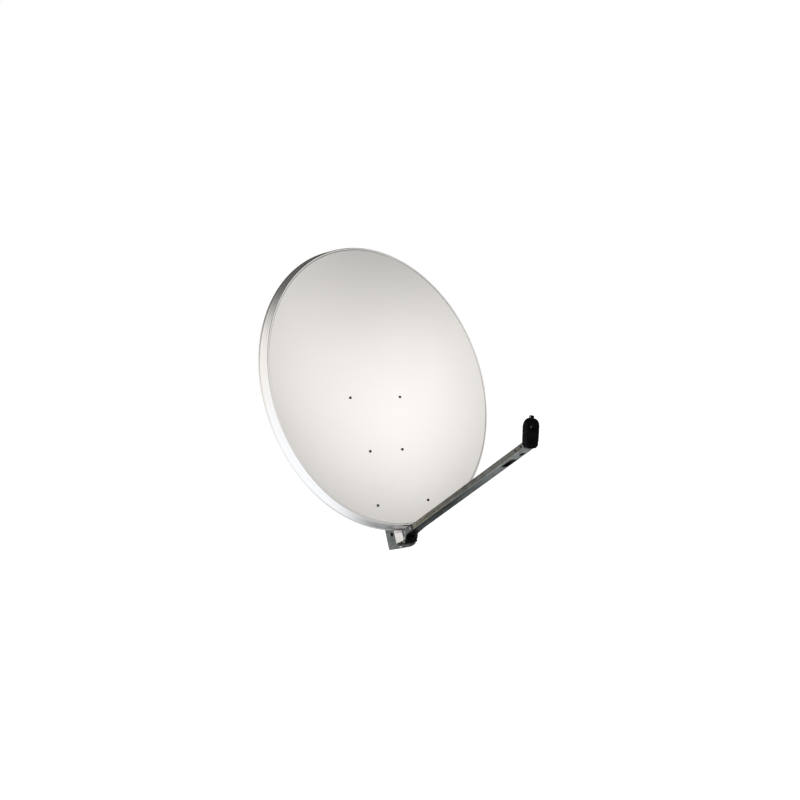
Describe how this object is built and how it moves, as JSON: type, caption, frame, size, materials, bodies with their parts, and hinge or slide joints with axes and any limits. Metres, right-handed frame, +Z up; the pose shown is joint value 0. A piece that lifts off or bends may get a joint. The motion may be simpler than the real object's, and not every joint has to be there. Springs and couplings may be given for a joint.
{
  "type": "offset satellite dish",
  "caption": "Offset parabolic reflector on a steel spine, with a folding feed arm, an LNB holder and a mast clamp that sets the elevation.",
  "frame": {"origin": "on the axis of the mast, midway between the upper and lower clamp", "axes": "+Z runs up the mast, the dish faces -Y and +X is to the right of someone who looks along +Y into the bowl"},
  "size_m": [1.012, 1.0674, 1.125],
  "materials": {
    "reflector_paint": "satin",
    "galvanised_steel": "satin",
    "zinc_fixings": "satin",
    "dark_screws": "satin",
    "black_plastic": "satin"
  },
  "bodies": {
    "mast_mount": {"mast_bracket": "galvanised_steel", "elevation_pivot_bolt": "zinc_fixings", "elevation_pivot_nut": "zinc_fixings", "pivot_sleeve": "zinc_fixings", "elevation_lock_bolt": "zinc_fixings", "elevation_lock_nut": "zinc_fixings", "front_jaw_upper": "galvanised_steel", "front_jaw_lower": "galvanised_steel", "clamp_bolt_upper_left": "zinc_fixings", "clamp_bolt_upper_right": "zinc_fixings", "clamp_bolt_lower_left": "zinc_fixings", "clamp_bolt_lower_right": "zinc_fixings"},
    "dish": {"reflector": "reflector_paint", "spine_channel": "galvanised_steel", "upper_crossbar": "galvanised_steel", "middle_crossbar": "galvanised_steel", "lower_crossbar": "galvanised_steel", "reflector_bolt_upper_left": "dark_screws", "reflector_bolt_upper_right": "dark_screws", "reflector_bolt_middle_left": "dark_screws", "reflector_bolt_middle_right": "dark_screws", "reflector_bolt_lower_left": "dark_screws", "reflector_bolt_lower_right": "dark_screws", "reflector_nut_upper_left": "zinc_fixings", "reflector_nut_upper_right": "zinc_fixings", "reflector_nut_middle_left": "zinc_fixings", "reflector_nut_middle_right": "zinc_fixings", "reflector_nut_lower_left": "zinc_fixings", "reflector_nut_lower_right": "zinc_fixings", "elevation_plate_left": "galvanised_steel", "elevation_plate_right": "galvanised_steel", "plate_bolt_upper": "zinc_fixings", "plate_bolt_lower": "zinc_fixings", "plate_nut_upper": "zinc_fixings", "plate_nut_lower": "zinc_fixings", "arm_tray": "galvanised_steel", "fold_bolt": "zinc_fixings", "fold_nut": "zinc_fixings"},
    "feed_arm": {"arm_tube": "galvanised_steel", "arm_shoe": "galvanised_steel", "latch_pin": "zinc_fixings", "shoe_rivet_rear": "zinc_fixings", "shoe_rivet_front": "zinc_fixings", "lnb_holder": "black_plastic", "lnb_reducer_left": "black_plastic", "lnb_reducer_right": "black_plastic", "lnb_clamp_screw": "zinc_fixings", "lnb_clamp_nut": "zinc_fixings"},
    "latch": {"latch_lever": "black_plastic"},
    "upper_rear_jaw": {"rear_jaw_upper": "galvanised_steel", "clamp_nut_upper_left": "zinc_fixings", "clamp_nut_upper_right": "zinc_fixings"},
    "lower_rear_jaw": {"rear_jaw_lower": "galvanised_steel", "clamp_nut_lower_left": "zinc_fixings", "clamp_nut_lower_right": "zinc_fixings"}
  },
  "joints": [
    {"name": "elevation", "type": "hinge", "parent": "mast_mount", "child": "dish", "pos_m": [0, -0.096, 0.022], "axis": [-1, 0, 0], "range_deg": [-22.5, 22.5]},
    {"name": "arm_fold", "type": "hinge", "parent": "dish", "child": "feed_arm", "pos_m": [0, -0.35444, -0.36683], "axis": [1, 0, 0], "range_deg": [0, 85]},
    {"name": "latch", "type": "hinge", "parent": "feed_arm", "child": "latch", "pos_m": [0, -0.37717, -0.34067], "axis": [1, 0, 0], "range_deg": [0, 20], "stiffness_Nm_per_rad": 0.3, "springref_deg": -5.73},
    {"name": "upper_jaw_slide", "type": "slide", "parent": "mast_mount", "child": "upper_rear_jaw", "axis": [0, 1, 0], "range_m": [-0.02, 0.03]},
    {"name": "lower_jaw_slide", "type": "slide", "parent": "mast_mount", "child": "lower_rear_jaw", "axis": [0, 1, 0], "range_m": [-0.02, 0.03]}
  ]
}
